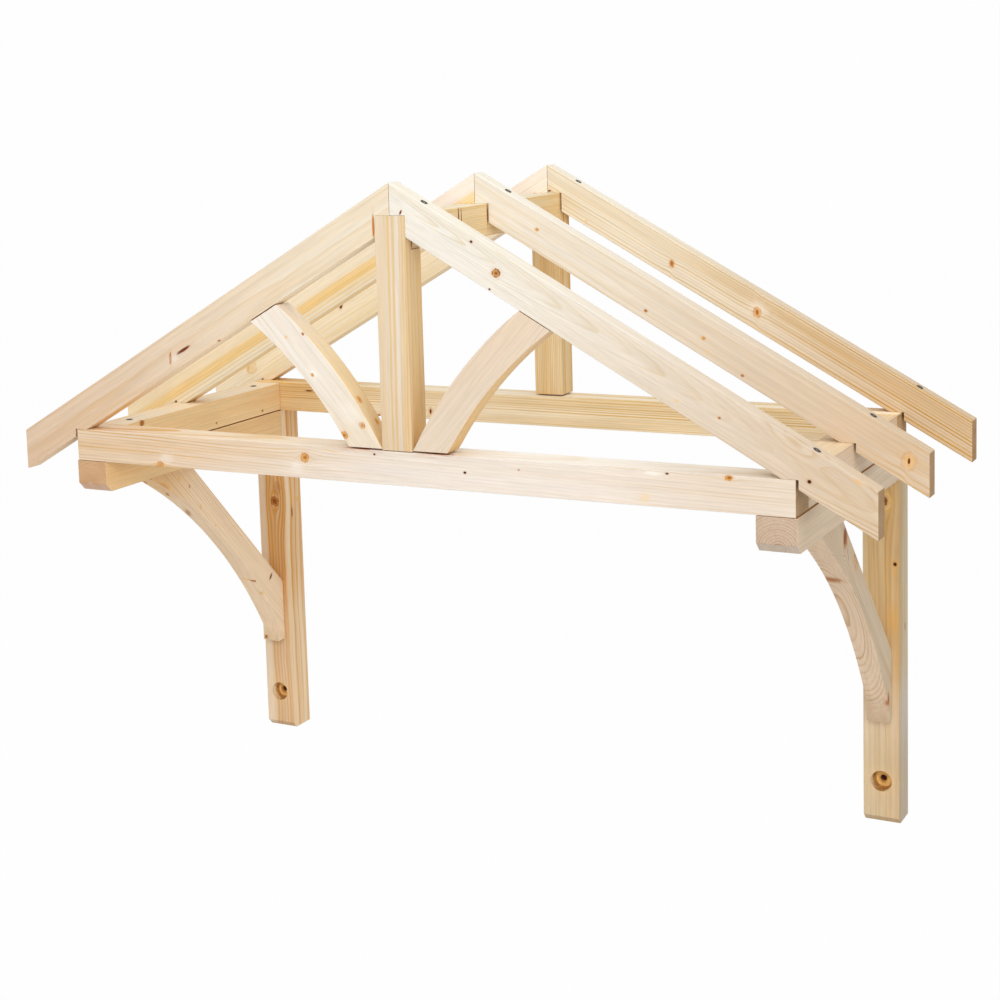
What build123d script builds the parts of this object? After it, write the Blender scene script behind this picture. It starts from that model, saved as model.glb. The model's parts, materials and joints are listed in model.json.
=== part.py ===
from build123d import *

import os
from math import cos, radians, sqrt, tan

# Gable porch canopy frame in planed softwood, hung on a house wall by two posts.
# X runs across the canopy, the wall face is the plane Y = 0, the front faces -Y, Z is up.
# The origin is on the wall face of the rear tie beam, at the middle of the beam.
# "Left" and "right" are as seen from the front. All sizes are in millimetres and degrees.

# Overall
canopy_width = 2000.0  # over the outer faces of the side plates
canopy_depth = 966.0  # from the wall to the front faces of the front truss
post_drop = 1022.0  # from the underside of the plates to the feet of the posts

# Timber sections
post_size = 95.0  # square posts
beam_width = 95.0  # tie beams, side plates and arms, across their length
beam_height = 85.0  # the same timbers, upright
rafter_depth = 94.0  # square to the slope
rafter_thickness = 52.0
king_post_width = 84.0
king_post_depth = 75.0
purlin_width = 76.0
purlin_height = 84.0

# Roof slope and the cuts in the rafters
roof_pitch = 29.7
eaves_overhang = 177.0  # plumb end of a rafter beyond the outer face of the side plate
birdsmouth_depth = 20.0  # plumb depth of the cut at the outer face of the side plate
birdsmouth_gap = 2.5  # left between the plumb cut and the side plate
apex_cover = 80.0  # plumb seam between the two rafters above the purlin
purlin_side_gap = 1.0  # between a rafter's cut and the side of the purlin
tongue_thickness = 28.0  # the part of a king post that rises between its rafters

# Curved struts of the front truss, beside its king post
strut_width = 84.0
strut_thickness = 60.0
strut_reach = 339.0  # from the middle of the truss to the strut's upper edge, at the rafter
strut_radius = 1060.0  # upper, longer edge

# Wall brackets: arm, curved brace and post
arm_chamfer = 22.0  # lower front edge of an arm
post_chamfer = 18.0  # lower front edge of a post
brace_thickness = 58.0
brace_leg = 645.0  # along the arm and down the post
brace_back_leg = 460.0  # from the corner of arm and post to the straight back edge
brace_depth = 72.0  # square to the back edge, at the middle of the brace
brace_toe_depth = 36.0  # blunt lower end, out from the post
brace_toe_length = 50.0
brace_tip_depth = 10.0  # thin upper end, under the arm

# Fixing holes at the feet of the posts
bolt_hole_diameter = 18.0
counterbore_diameter = 56.0
counterbore_depth = 26.0
bolt_rise = 116.0  # above the foot of the post

# Positions that follow from the sizes
half_width = canopy_width / 2
front_y = -canopy_depth
plate_top = beam_height / 2
plate_bottom = -beam_height / 2
post_foot = plate_bottom - post_drop
slope = tan(radians(roof_pitch))
rafter_plumb_depth = rafter_depth / cos(radians(roof_pitch))
apex_z = plate_top - birdsmouth_depth + rafter_plumb_depth + half_width * slope
seat_x = half_width - birdsmouth_depth / slope  # where a rafter's lower edge meets the plate's top
purlin_top = apex_z - apex_cover
purlin_bottom = purlin_top - purlin_height


def box_between(low, high):
    """Add a box to the current part, from its lowest corner to its highest."""
    size = [top - bottom for bottom, top in zip(low, high)]
    middle = [(top + bottom) / 2 for bottom, top in zip(low, high)]
    with Locations(tuple(middle)):
        Box(*size)


def underside(x):
    """Height of a rafter's lower edge at a distance x from the middle."""
    return plate_top - birdsmouth_depth + (half_width - x) * slope


def save(builder, name):
    """Label a finished piece and write it to its own file."""
    builder.part.label = name
    export_step(builder.part, f"parts/{name}.step")


def save_pair(right_builder, name):
    """Write a right-hand piece and its mirror image on the left."""
    save(right_builder, f"{name}_right")
    with BuildPart() as left_piece:
        add(mirror(right_builder.part, about=Plane.YZ))
    save(left_piece, f"{name}_left")


def rafter_pair(name, rafter_front, notch_half_width):
    """Two rafters that meet in a plumb seam, cut over the purlin and the side plates."""
    eaves_x = half_width + eaves_overhang
    heel_x = half_width + birdsmouth_gap
    with BuildPart() as rafter:
        with BuildSketch(Plane.XZ.offset(-rafter_front)):
            with BuildLine():
                Polyline(
                    (0, apex_z),
                    (eaves_x, underside(eaves_x) + rafter_plumb_depth),
                    (eaves_x, underside(eaves_x)),
                    (heel_x, underside(heel_x)),
                    (heel_x, plate_top),
                    (seat_x, plate_top),
                    (notch_half_width, underside(notch_half_width)),
                    (notch_half_width, purlin_top),
                    (0, purlin_top),
                    close=True,
                )
            make_face()
        extrude(amount=-rafter_thickness)
    save_pair(rafter, name)


def king_post(name, outer_y, inward):
    """A king post on a tie beam: its outer tongue rises in front of the purlin's end."""
    tongue_y = outer_y + inward * tongue_thickness
    inner_y = outer_y + inward * king_post_depth
    with BuildPart() as post:
        with BuildSketch(Plane.YZ.offset(-king_post_width / 2)):
            with BuildLine():
                Polyline(
                    (outer_y, plate_top),
                    (outer_y, purlin_top),
                    (tongue_y, purlin_top),
                    (tongue_y, purlin_bottom),
                    (inner_y, purlin_bottom),
                    (inner_y, plate_top),
                    close=True,
                )
            make_face()
        extrude(amount=king_post_width)
    save(post, name)


os.makedirs("parts", exist_ok=True)

# Wall posts, with a counterbored bolt hole near the foot
post_middle_x = half_width - post_size / 2
with BuildPart() as wall_post:
    box_between((half_width - post_size, -post_size, post_foot), (half_width, 0, plate_bottom))
    chamfer(wall_post.edges().filter_by(Axis.X).group_by(Axis.Z)[0].sort_by(Axis.Y)[0], post_chamfer)
    bolt_plane = Plane((post_middle_x, -post_size, post_foot + bolt_rise), x_dir=(1, 0, 0), z_dir=(0, -1, 0))
    with Locations(bolt_plane):
        CounterBoreHole(bolt_hole_diameter / 2, counterbore_diameter / 2, counterbore_depth)
save_pair(wall_post, "wall_post")

# Bracket arms, butted against the posts under the side plates
arm_inner_x = half_width - beam_width
arm_bottom = plate_bottom - beam_height
with BuildPart() as bracket_arm:
    box_between((arm_inner_x, front_y, arm_bottom), (half_width, -post_size, plate_bottom))
    chamfer(bracket_arm.edges().filter_by(Axis.X).group_by(Axis.Z)[0].sort_by(Axis.Y)[0], arm_chamfer)
save_pair(bracket_arm, "bracket_arm")

# Bracket braces: straight at the back, hollowed to an arc in front, with a blunt toe on the post.
# The outline is drawn from the corner of arm and post, outwards along the arm and down.
brace_plane = Plane(
    (half_width - beam_width / 2 - brace_thickness / 2, -post_size, arm_bottom),
    x_dir=(0, -1, 0),
    z_dir=(1, 0, 0),
)
toe_start = brace_leg - brace_toe_length
arc_middle = brace_back_leg / 2 + brace_depth / sqrt(2)
with BuildPart() as bracket_brace:
    with BuildSketch(brace_plane):
        with BuildLine():
            Polyline(
                (brace_leg, brace_tip_depth),
                (brace_leg, 0),
                (brace_back_leg, 0),
                (0, brace_back_leg),
                (0, brace_leg),
                (brace_toe_depth, brace_leg),
                (brace_toe_depth, toe_start),
            )
            ThreePointArc((brace_toe_depth, toe_start), (arc_middle, arc_middle), (brace_leg, brace_tip_depth))
        make_face()
    extrude(amount=brace_thickness)
save_pair(bracket_brace, "bracket_brace")

# The level frame: two tie beams across, with the side plates between them
with BuildPart() as front_tie_beam:
    box_between((-half_width, front_y, plate_bottom), (half_width, front_y + beam_width, plate_top))
save(front_tie_beam, "front_tie_beam")

with BuildPart() as rear_tie_beam:
    box_between((-half_width, -post_size, plate_bottom), (half_width, 0, plate_top))
save(rear_tie_beam, "rear_tie_beam")

with BuildPart() as side_plate:
    box_between(
        (half_width - beam_width, front_y + beam_width, plate_bottom),
        (half_width, -post_size, plate_top),
    )
save_pair(side_plate, "side_plate")

# King posts and the ridge purlin that lies on their shoulders
king_post("front_king_post", front_y, 1)
king_post("rear_king_post", 0, -1)

with BuildPart() as ridge_purlin:
    box_between(
        (-purlin_width / 2, front_y + tongue_thickness, purlin_bottom),
        (purlin_width / 2, -tongue_thickness, purlin_top),
    )
save(ridge_purlin, "ridge_purlin")

# Three pairs of rafters: front and rear beside the king posts, and one midway
rafter_pair("front_rafter", front_y, king_post_width / 2)
rafter_pair("middle_rafter", (front_y - rafter_thickness) / 2, purlin_width / 2 + purlin_side_gap)
rafter_pair("rear_rafter", -rafter_thickness, king_post_width / 2)

# Curved struts: a ring between two arcs, cut off by the tie beam and the rafter.
# The upper arc starts at the foot of the king post and ends at strut_reach on the rafter.
strut_foot = Vector(king_post_width / 2, plate_top)
strut_head = Vector(strut_reach, underside(strut_reach))
chord = strut_head - strut_foot
sag_side = sqrt(strut_radius**2 - (chord.length / 2) ** 2)
arc_centre = (strut_foot + strut_head) / 2 + Vector(chord.Y, -chord.X) * (sag_side / chord.length)
with BuildPart() as truss_strut:
    with BuildSketch(Plane.XZ.offset(canopy_depth)):
        with Locations((arc_centre.X, arc_centre.Y)):
            Circle(strut_radius)
            Circle(strut_radius - strut_width, mode=Mode.SUBTRACT)
        with BuildLine():
            Polyline(
                (strut_foot.X, plate_top),
                (strut_foot.X, underside(strut_foot.X)),
                (seat_x, plate_top),
                close=True,
            )
        make_face(mode=Mode.INTERSECT)
    extrude(amount=-strut_thickness)
save_pair(truss_strut, "truss_strut")
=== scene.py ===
"""Gable porch canopy in planed spruce: looks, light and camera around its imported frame.

Every timber is dressed as a copy of its own solid, planed back a shaving where a joint
stands open, with eased arrises, and finished in a wood grown in three dimensions, so that
the growth rings of the long faces run round to the sawn ends. Lengths are in metres.
"""

from __future__ import annotations

import json
import logging
import math
from dataclasses import dataclass
from enum import Enum

import bmesh
import bpy
from mathutils import Matrix, Vector

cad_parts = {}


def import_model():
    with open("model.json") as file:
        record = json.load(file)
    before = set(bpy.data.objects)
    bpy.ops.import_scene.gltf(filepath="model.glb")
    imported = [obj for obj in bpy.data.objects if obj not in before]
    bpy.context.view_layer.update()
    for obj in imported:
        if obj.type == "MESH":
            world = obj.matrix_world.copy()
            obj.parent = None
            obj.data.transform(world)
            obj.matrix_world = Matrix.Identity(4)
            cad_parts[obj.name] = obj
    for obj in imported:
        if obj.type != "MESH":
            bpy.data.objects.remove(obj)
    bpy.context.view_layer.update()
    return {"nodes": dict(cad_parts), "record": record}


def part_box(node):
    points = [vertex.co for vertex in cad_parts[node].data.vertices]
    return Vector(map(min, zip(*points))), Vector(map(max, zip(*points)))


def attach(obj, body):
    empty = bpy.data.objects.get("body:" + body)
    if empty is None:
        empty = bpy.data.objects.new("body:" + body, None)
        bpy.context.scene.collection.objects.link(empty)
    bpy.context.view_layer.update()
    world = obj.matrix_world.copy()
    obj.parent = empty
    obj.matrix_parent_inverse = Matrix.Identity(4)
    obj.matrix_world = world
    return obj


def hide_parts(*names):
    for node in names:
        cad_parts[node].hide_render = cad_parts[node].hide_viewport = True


LOG = logging.getLogger("porch_canopy")
BODY = "root"
Triple = tuple[float, float, float]
Rgba = tuple[float, float, float, float]
Socket = bpy.types.NodeSocket
ACROSS: Triple = (1.0, 0.0, 0.0)
OUTWARD: Triple = (0.0, 1.0, 0.0)
UPRIGHT: Triple = (0.0, 0.0, 1.0)
MIDDLE: Triple = (0.5, 0.5, 0.5)  # where a noise texture's colour has its mean
KNOT_END = 1.15  # how far from its middle a knot's heart ends, in units of its size
SAME_WAY = 0.999  # least cosine between normals that count as looking the same way


def tint(red: float, green: float, blue: float) -> Rgba:
    """Turn a colour written from 0 to 255 into the linear values a shader takes.

    Args:
        red: Red, from 0 to 255, or above it in a tone that brightens.
        green: Green, from 0 to 255.
        blue: Blue, from 0 to 255.

    Returns:
        The linear colour with full opacity.
    """
    linear = []
    for part in (red / 255, green / 255, blue / 255):
        linear.append(part / 12.92 if part <= 0.04045 else ((part + 0.055) / 1.055) ** 2.4)
    return (linear[0], linear[1], linear[2], 1.0)


PLAIN = tint(255, 255, 255)  # leaves a colour as it is when multiplied by it


# ---------------------------------------------------------------------------
# Shader sketching


class Sketch:
    """Adds nodes and their links to one node tree."""

    def __init__(self, tree: bpy.types.NodeTree) -> None:
        """Start on a tree that is already empty."""
        self.tree = tree

    def node(self, kind: str, **settings: object) -> bpy.types.Node:
        """Add a node and set its plain properties.

        Args:
            kind: The node's type name without the ShaderNode prefix, or a full type name.
            **settings: Properties to set on it.

        Returns:
            The new node.
        """
        name = kind if kind.startswith("NodeGroup") else f"ShaderNode{kind}"
        node = self.tree.nodes.new(name)
        for key, value in settings.items():
            setattr(node, key, value)
        return node

    def feed(self, socket: Socket, source: object) -> None:
        """Link a socket to another one, or write a constant into it."""
        if isinstance(source, Socket):
            self.tree.links.new(source, socket)
        else:
            socket.default_value = source

    def math(self, operation: str, *terms: object, clamp: bool = False) -> Socket:
        """Add a Math node.

        Args:
            operation: The node's operation.
            *terms: Numbers or sockets, in order.
            clamp: Whether the result is kept from 0 to 1.

        Returns:
            The result's socket.
        """
        node = self.node("Math", operation=operation, use_clamp=clamp)
        for socket, term in zip(node.inputs, terms):
            self.feed(socket, term)
        return node.outputs[0]

    def vector(self, operation: str, *terms: object) -> Socket:
        """Add a Vector Math node on two vectors.

        Args:
            operation: The node's operation.
            *terms: Triples or sockets, in order.

        Returns:
            The result's socket, a value for LENGTH and DOT_PRODUCT.
        """
        node = self.node("VectorMath", operation=operation)
        for socket, term in zip(node.inputs, terms):
            self.feed(socket, term)
        return node.outputs["Value" if operation in ("LENGTH", "DOT_PRODUCT") else "Vector"]

    def scaled(self, vector: object, factor: object) -> Socket:
        """Multiply a vector by one number or socket."""
        node = self.node("VectorMath", operation="SCALE")
        self.feed(node.inputs[0], vector)
        self.feed(node.inputs["Scale"], factor)
        return node.outputs["Vector"]

    def times(self, first: object, second: object, clamp: bool = False) -> Socket:
        """Multiply two numbers or sockets."""
        return self.math("MULTIPLY", first, second, clamp=clamp)

    def step(
        self, value: object, start: object, end: float, low: float = 0.0, high: float = 1.0
    ) -> Socket:
        """Ease a value smoothly from one range to another.

        Args:
            value: The number or socket to ease.
            start: Where the easing starts.
            end: Where it ends.
            low: The result at the start.
            high: The result at the end.

        Returns:
            The eased value's socket.
        """
        node = self.node("MapRange", interpolation_type="SMOOTHSTEP")
        for socket, term in zip(node.inputs, (value, start, end, low, high)):
            self.feed(socket, term)
        return node.outputs[0]

    def noise(
        self, place: object, scale: object, detail: float = 2.0, roughness: float = 0.5
    ) -> bpy.types.Node:
        """Add a noise texture.

        Args:
            place: Where it is read.
            scale: How fine it is, as one number or as one for each axis.
            detail: How many finer layers it has.
            roughness: How strong they are.

        Returns:
            The new node.
        """
        node = self.node("TexNoise")
        if isinstance(scale, tuple):
            place, scale = self.vector("MULTIPLY", place, scale), 1.0
        labels = ("Vector", "Scale", "Detail", "Roughness")
        for label, term in zip(labels, (place, scale, detail, roughness)):
            self.feed(node.inputs[label], term)
        return node

    def cloud(
        self, place: object, scale: object, detail: float = 2.0, roughness: float = 0.5
    ) -> Socket:
        """Add a noise texture and take its value."""
        return self.noise(place, scale, detail, roughness).outputs[0]

    def stray(self, place: object, scale: object, detail: float) -> Socket:
        """Add a noise texture and take its colour as a vector that wanders about zero."""
        return self.vector("SUBTRACT", self.noise(place, scale, detail).outputs["Color"], MIDDLE)

    def join(self, *terms: object) -> Socket:
        """Combine up to three numbers or sockets into a vector."""
        node = self.node("CombineXYZ")
        for socket, term in zip(node.inputs, terms):
            self.feed(socket, term)
        return node.outputs[0]

    def mix(
        self, factor: object, first: object, second: object, mode: str = "MIX"
    ) -> Socket:
        """Mix two colours.

        Args:
            factor: Share of the second one.
            first: Colour or socket.
            second: Colour or socket.
            mode: Blend mode.

        Returns:
            The mixed colour's socket.
        """
        node = self.node("Mix", data_type="RGBA", blend_type=mode, clamp_factor=True)
        factor_in, first_in, second_in = (node.inputs[place] for place in (0, 6, 7))
        for socket, term in ((factor_in, factor), (first_in, first), (second_in, second)):
            self.feed(socket, term)
        return node.outputs[2]


class GroupPlan:
    """A shader node group with named inputs and outputs, built once and used by name.

    Attributes:
        KINDS: The socket type of each kind of value.
    """

    KINDS = {"value": "NodeSocketFloat", "vector": "NodeSocketVector", "colour": "NodeSocketColor"}

    def __init__(self, name: str, inputs: dict[str, str], outputs: dict[str, str]) -> None:
        """Make the group's tree with its sockets.

        Args:
            name: The group's name.
            inputs: Socket names, each with its kind.
            outputs: Socket names, each with its kind.
        """
        self.tree = bpy.data.node_groups.new(name, "ShaderNodeTree")
        for in_out, sockets in (("INPUT", inputs), ("OUTPUT", outputs)):
            for label, kind in sockets.items():
                self.tree.interface.new_socket(label, in_out=in_out, socket_type=self.KINDS[kind])
        self.sketch = Sketch(self.tree)
        self.given = self.sketch.node("NodeGroupInput").outputs
        self.result = self.sketch.node("NodeGroupOutput").inputs

    def use(self, sketch: Sketch, **terms: object) -> bpy.types.bpy_prop_collection:
        """Place the group in a tree.

        Args:
            sketch: The tree's sketch.
            **terms: A constant or a socket for each input.

        Returns:
            The placed node's outputs.
        """
        node = sketch.node("Group", node_tree=self.tree)
        for label, term in terms.items():
            sketch.feed(node.inputs[label], term)
        return node.outputs


# ---------------------------------------------------------------------------
# Wood


@dataclass(frozen=True)
class KnotLook:
    """What a kind of knot or mark looks like.

    Attributes:
        heart: Colour of its heart.
        rim: Colour of its rim and of its own rings.
        edge: How strongly the rim shows.
        pull: How far it pushes the grain aside.
        rays: How strongly rays run out from its middle.
        solid: How much of the wood its heart hides.
        soft: How far its outline fades, from 0, crisp, to 1, from the middle on.
    """

    heart: Rgba
    rim: Rgba
    edge: float
    pull: float
    rays: float
    solid: float = 0.92
    soft: float = 0.45

    def terms(self) -> dict[str, object]:
        """Give the look as terms for the knot group's inputs."""
        return {
            "Heart": self.heart, "Rim": self.rim, "Edge": self.edge, "Rays": self.rays,
            "Solid": self.solid, "Fade": KNOT_END - self.soft,
        }


class Mark(Enum):
    """The kinds of knots and marks in the canopy's wood, and marks of painted light and shade."""

    PALE = KnotLook(tint(240, 202, 134), tint(222, 166, 86), 0.7, 0.9, 0.2, 0.75, 0.6)
    LIVE = KnotLook(tint(228, 168, 82), tint(172, 98, 32), 0.7, 0.9, 0.3)
    RINGED = KnotLook(tint(218, 152, 70), tint(96, 40, 10), 1.0, 0.9, 0.3, 0.95)
    DARK = KnotLook(tint(196, 124, 50), tint(116, 62, 20), 0.7, 0.8, 0.2, 0.95)
    DEAD = KnotLook(tint(172, 98, 40), tint(64, 20, 4), 0.9, 0.9, 0.6)
    BROWN = KnotLook(tint(176, 108, 46), tint(120, 60, 16), 0.5, 0.4, 0.2, 0.95, 0.7)
    SPECK = KnotLook(tint(44, 12, 2), tint(168, 92, 26), 0.3, 0.7, 0.0, 1.0)
    # A slit in the wood, and also painted shade for a hidden gap between parts.
    SLIT_AND_GAP_SHADE = KnotLook(tint(106, 40, 10), tint(176, 100, 38), 0.2, 0.0, 0.0, 1.0)
    # A check in the wood, and also painted shade for a gap between parts.
    CHECK = KnotLook(tint(186, 112, 52), tint(216, 156, 92), 0.2, 0.0, 0.0, 0.95, 0.3)
    # Painted warm bounced light with a shaded rim, inside a counterbore.
    RECESS_LIGHT_AND_SHADE = KnotLook(tint(250, 200, 118), tint(146, 78, 24), 0.8, 0.0, 0.2, 0.95, 0.3)
    # Painted shade on the wall of a bolt hole.
    BORE_SHADE = KnotLook(tint(136, 48, 10), tint(136, 48, 10), 0.0, 0.0, 0.0, 1.0, 0.2)
    # A streak in the wood, and also painted warm bounced light.
    STREAK_AND_BOUNCE_LIGHT = KnotLook(tint(232, 174, 86), tint(232, 174, 86), 0.0, 0.0, 0.0, 0.8, 0.9)
    # A blotch in the wood, and also painted warm bounced light.
    BLOTCH_AND_BOUNCE_LIGHT = KnotLook(tint(240, 204, 142), tint(228, 176, 104), 0.0, 0.5, 0.0, 0.6, 0.9)
    FAN = KnotLook(tint(206, 164, 116), tint(120, 66, 24), 0.0, 0.2, 1.0, 0.5, 0.8)
    SWIRL = KnotLook(tint(230, 190, 140), tint(230, 190, 140), 0.0, 1.0, 0.0, 0.0)
    BALD = KnotLook(tint(255, 250, 240), tint(255, 250, 240), 0.0, 0.0, 0.0, 0.8, 1.0)
    # Painted shade for a shadow line between parts.
    GAP_SHADE = KnotLook(tint(176, 100, 48), tint(176, 100, 48), 0.0, 0.0, 0.0, 1.0)


@dataclass(frozen=True)
class Knot:
    """A knot, pinhole, slit or blotch at one place on a timber, or a mark of painted light and
    shade.

    Attributes:
        place: Its middle.
        radius: Half its width across its long axis.
        stretch: Its length over its width.
        kind: How it looks.
        along: Its long axis, or None to lie along the grain.
        share: How much of it shows, from 0 to 1.
    """

    place: Triple
    radius: float
    stretch: float
    kind: Mark = Mark.LIVE
    along: Triple | None = None
    share: float = 1.0


@dataclass(frozen=True)
class Lanes:
    """Straight stripes of late wood side by side across a timber.

    Attributes:
        start: Where the stripes start.
        across: The way they follow one another.
        width: The width they cover.
        stops: Each turning point's place, from 0 to 1, and its strength.
        waver: How far they stray, in widths.
        rest: How much of the round growth rings still shows.
    """

    start: Triple
    across: Triple
    width: float
    stops: tuple[tuple[float, float], ...]
    waver: float
    rest: float


@dataclass(frozen=True)
class Drift:
    """A slow change of a timber's colour along its grain, partly the wood's own tone and partly
    painted shade.

    Attributes:
        start: Where it starts, measured along the grain.
        end: Where it ends.
        tone: What the colour is multiplied by from there on.
    """

    start: float
    end: float
    tone: Rgba


@dataclass(frozen=True)
class SpruceFinish:
    """One timber's wood.

    Attributes:
        name: The material's name.
        grain: Direction of the fibres.
        pith: A point on the middle line of the tree the timber was sawn from.
        seed: Shifts every pattern, so that no two timbers match.
        early: Colour of the pale wood grown in spring.
        late: Colour of the dark wood grown in summer.
        contrast: How strongly the late wood shows where no swell is given.
        spacing: Width of a growth ring.
        wander: How far the rings stray from round.
        flow: How far knots push the rings.
        knots: Knots and marks, some of them painted light and shade.
        lanes: Straight stripes of late wood, if any.
        swell: Places along the grain between which the contrast changes, and its two values there.
        end: Tint of the wood where it is sawn across.
        side_shading: Painted light and shade: a tint of the faces that look along +X, for how the
            light falls on that side.
        underside_shading: Painted light and shade: a tint of the faces that look down, for the
            bounced light and shade under the timber.
        top_shading: Painted light and shade: a tint of the faces that look up, lighter or darker as
            the light falls on them.
        tone_and_shade_drifts: Slow changes of colour along the grain, partly the wood's own tone
            and partly painted shade where the light falls off.
    """

    name: str
    grain: Triple
    pith: Triple
    seed: float
    early: Rgba
    late: Rgba
    contrast: float = 0.6
    spacing: float = 0.0046
    wander: float = 0.005
    flow: float = 1.0
    knots: tuple[Knot, ...] = ()
    lanes: Lanes | None = None
    swell: tuple[float, float, float, float] | None = None
    end: Rgba = tint(195, 178, 152)
    side_shading: Rgba = PLAIN
    underside_shading: Rgba = PLAIN
    top_shading: Rgba = PLAIN
    tone_and_shade_drifts: tuple[Drift, ...] = ()


def grain_turn(along: Triple) -> Matrix:
    """Find the turn that lays local X along the grain and, where it can, local Z outward.

    Args:
        along: Direction of the grain.

    Returns:
        A 3 by 3 matrix whose columns are the local axes.
    """
    x_axis = Vector(along).normalized()
    z_axis = Vector(OUTWARD)
    if abs(x_axis.dot(z_axis)) > 0.9:  # the grain itself runs outward
        z_axis = Vector(UPRIGHT)
    y_axis = z_axis.cross(x_axis).normalized()
    return Matrix((x_axis, y_axis, x_axis.cross(y_axis))).transposed()


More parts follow.
